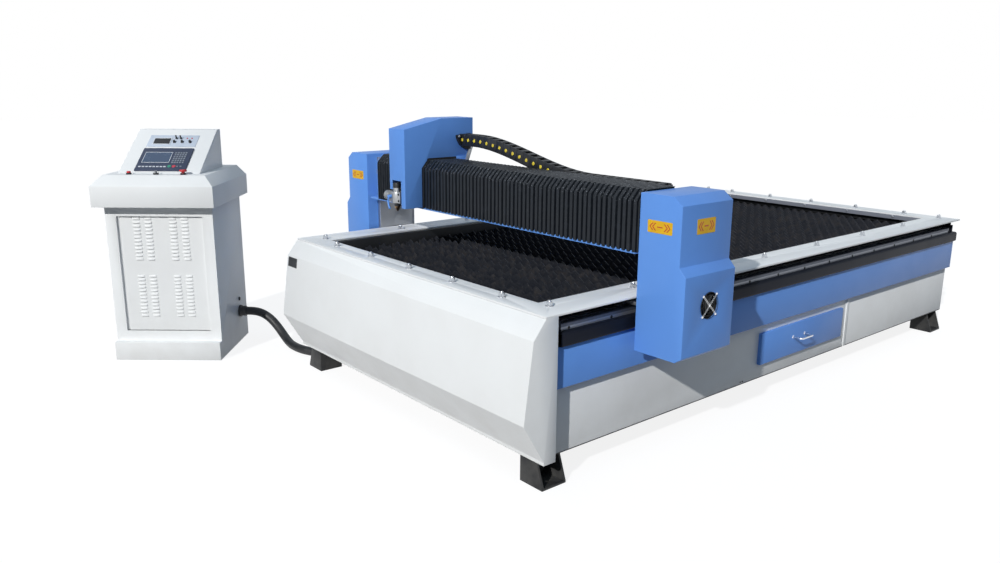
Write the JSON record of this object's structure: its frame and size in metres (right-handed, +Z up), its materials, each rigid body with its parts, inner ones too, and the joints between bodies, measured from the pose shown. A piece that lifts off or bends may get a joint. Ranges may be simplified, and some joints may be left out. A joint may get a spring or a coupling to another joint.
{
  "type": "cnc plasma cutting table",
  "caption": "Slatted cutting bed with a rack-driven gantry, bellows-covered cross beam, lifting torch carriage, side drawer and a separate sloped control console.",
  "frame": {"origin": "middle of the bed's four floor anchor holes, at floor level", "axes": "+X across the bed along the gantry, +Y along the bed away from the front apron, +Z up"},
  "size_m": [3.4998, 4.4258, 1.38],
  "materials": {
    "white_paint": "satin powder coat",
    "blue_paint": "glossy paint",
    "black_paint": "matt paint",
    "dark_steel": "mill scale, unpainted",
    "bright_steel": "ground and oiled",
    "grey_plate": "machined and clear-coated",
    "chrome": "bright plating",
    "bronze": "cut teeth",
    "aluminium": "anodised",
    "black_plastic": "fine grain",
    "bellows_cloth": "coated cloth",
    "red_plastic": "moulded",
    "grey_plastic": "moulded",
    "panel_foil": "printed foil, left without words",
    "controller_case": "moulded",
    "screen_glass": "display window",
    "hose_rubber": "smooth"
  },
  "bodies": {
    "bed": {"bed_frame": "black_paint", "feet": "black_paint", "front_apron": "white_paint", "side_panels": "white_paint", "blue_bands": "blue_paint", "rim": "white_paint", "rim_bolts": "chrome", "slat_supports": "dark_steel", "slats": "dark_steel", "slag_tray": "dark_steel", "rail_beams": "black_paint", "guide_rails": "bright_steel", "racks": "bright_steel", "drawer_runners": "bright_steel", "console_cabinet": "white_paint", "louvre_panel": "white_paint", "console_desk": "white_paint", "console_head": "white_paint", "instrument_panel": "panel_foil", "controller_panel": "controller_case", "screens": "screen_glass", "switch_collars": "black_plastic", "hose_glands": "black_plastic", "control_hose": "hose_rubber"},
    "drawer": {"drawer": "blue_paint", "drawer_handle": "chrome"},
    "gantry": {"gantry_beam": "blue_paint", "end_plates": "grey_plate", "tower_cover_right": "blue_paint", "tower_cover_left": "blue_paint", "drive_motors": "black_paint", "bearing_blocks": "bright_steel", "fan_frame": "black_plastic", "fan_guard": "chrome", "beam_rails": "bright_steel", "beam_rack": "bright_steel", "bellows_right": "bellows_cloth", "bellows_left": "bellows_cloth", "cable_chain": "black_plastic"},
    "pinion_right": {"pinion_right": "bronze"},
    "pinion_left": {"pinion_left": "bronze"},
    "fan_rotor": {"fan_rotor": "black_plastic"},
    "carriage": {"carriage_plate": "aluminium", "carriage_cover": "blue_paint", "carriage_motors": "black_paint"},
    "carriage_pinion": {"carriage_pinion": "bronze"},
    "lift_screw": {"lift_screw": "bright_steel"},
    "torch": {"torch_slide": "aluminium", "torch_clamp": "aluminium", "torch": "aluminium"},
    "clamp_lever": {"clamp_lever": "blue_paint"},
    "rear_door": {"rear_door": "white_paint"},
    "start_button": {"start_button": "red_plastic"},
    "selector_switch": {"selector_switch": "grey_plastic"},
    "emergency_stop": {"emergency_stop": "red_plastic"},
    "knob_1": {"knob_1": "black_plastic"},
    "knob_2": {"knob_2": "black_plastic"},
    "knob_3": {"knob_3": "black_plastic"},
    "toggle_1": {"toggle_1": "bright_steel"},
    "toggle_2": {"toggle_2": "bright_steel"}
  },
  "joints": [
    {"name": "gantry_travel", "type": "slide", "parent": "bed", "child": "gantry", "axis": [0, 1, 0], "range_m": [-0.2, 2.75]},
    {"name": "carriage_travel", "type": "slide", "parent": "gantry", "child": "carriage", "axis": [1, 0, 0], "range_m": [-0.12, 1.28], "deforming": ["bellows_right", "bellows_left", "cable_chain"]},
    {"name": "torch_lift", "type": "slide", "parent": "carriage", "child": "torch", "axis": [0, 0, 1], "range_m": [-0.185, 0]},
    {"name": "pinion_right_spin", "type": "hinge", "parent": "gantry", "child": "pinion_right", "pos_m": [0.95, -1.163, 0.695], "axis": [1, 0, 0], "range_deg": [-7888, 583]},
    {"name": "pinion_left_spin", "type": "hinge", "parent": "gantry", "child": "pinion_left", "pos_m": [-0.95, -1.163, 0.695], "axis": [1, 0, 0], "range_deg": [-7888, 583]},
    {"name": "carriage_pinion_spin", "type": "hinge", "parent": "carriage", "child": "carriage_pinion", "pos_m": [-0.501, -1.265, 1.028], "axis": [0, 1, 0], "range_deg": [-3677, 354]},
    {"name": "lift_screw_spin", "type": "hinge", "parent": "carriage", "child": "lift_screw", "pos_m": [-0.57, -1.356, 1.02], "axis": [0, 0, 1], "range_deg": [-10, 6670]},
    {"name": "fan_spin", "type": "hinge", "parent": "gantry", "child": "fan_rotor", "pos_m": [1.25, -1.163, 0.725], "axis": [1, 0, 0], "continuous": true},
    {"name": "clamp_lever_turn", "type": "hinge", "parent": "torch", "child": "clamp_lever", "pos_m": [-0.604, -1.44, 0.974], "axis": [0, 1, 0], "range_deg": [-20, 90]},
    {"name": "drawer_slide", "type": "slide", "parent": "bed", "child": "drawer", "axis": [1, 0, 0], "range_m": [0, 0.38]},
    {"name": "rear_door_swing", "type": "hinge", "parent": "bed", "child": "rear_door", "pos_m": [-2.13643, -2.1936, 0.5], "axis": [0, 0, 1], "range_deg": [0, 110]},
    {"name": "start_press", "type": "slide", "parent": "bed", "child": "start_button", "axis": [0, 0, 1], "range_m": [-0.004, 0], "stiffness_N_per_m": 500},
    {"name": "selector_turn", "type": "hinge", "parent": "bed", "child": "selector_switch", "pos_m": [-1.59974, -2.3202, 1.07], "axis": [0, 0, 1], "range_deg": [-45, 45]},
    {"name": "emergency_press", "type": "slide", "parent": "bed", "child": "emergency_stop", "axis": [0, 0, 1], "range_m": [-0.004, 0]},
    {"name": "knob_1_turn", "type": "hinge", "parent": "bed", "child": "knob_1", "pos_m": [-1.79913, -2.13743, 1.22136], "axis": [0.4103, -0.3443, 0.8445], "range_deg": [-140, 140]},
    {"name": "knob_2_turn", "type": "hinge", "parent": "bed", "child": "knob_2", "pos_m": [-1.77049, -2.1033, 1.22136], "axis": [0.4103, -0.3443, 0.8445], "range_deg": [-140, 140]},
    {"name": "knob_3_turn", "type": "hinge", "parent": "bed", "child": "knob_3", "pos_m": [-1.74094, -2.06808, 1.22136], "axis": [0.4103, -0.3443, 0.8445], "range_deg": [-140, 140]},
    {"name": "toggle_1_flip", "type": "hinge", "parent": "bed", "child": "toggle_1", "pos_m": [-1.81943, -2.11524, 1.23672], "axis": [0.6428, 0.766, 0], "range_deg": [-17, 17]},
    {"name": "toggle_2_flip", "type": "hinge", "parent": "bed", "child": "toggle_2", "pos_m": [-1.80294, -2.09558, 1.23672], "axis": [0.6428, 0.766, 0], "range_deg": [-17, 17]}
  ],
  "couplings": [
    {"joint": "pinion_right_spin", "follows": "gantry_travel", "rad_per_m": -50},
    {"joint": "pinion_left_spin", "follows": "gantry_travel", "rad_per_m": -50},
    {"joint": "carriage_pinion_spin", "follows": "carriage_travel", "rad_per_m": -50},
    {"joint": "lift_screw_spin", "follows": "torch_lift", "rad_per_m": -628.32}
  ]
}
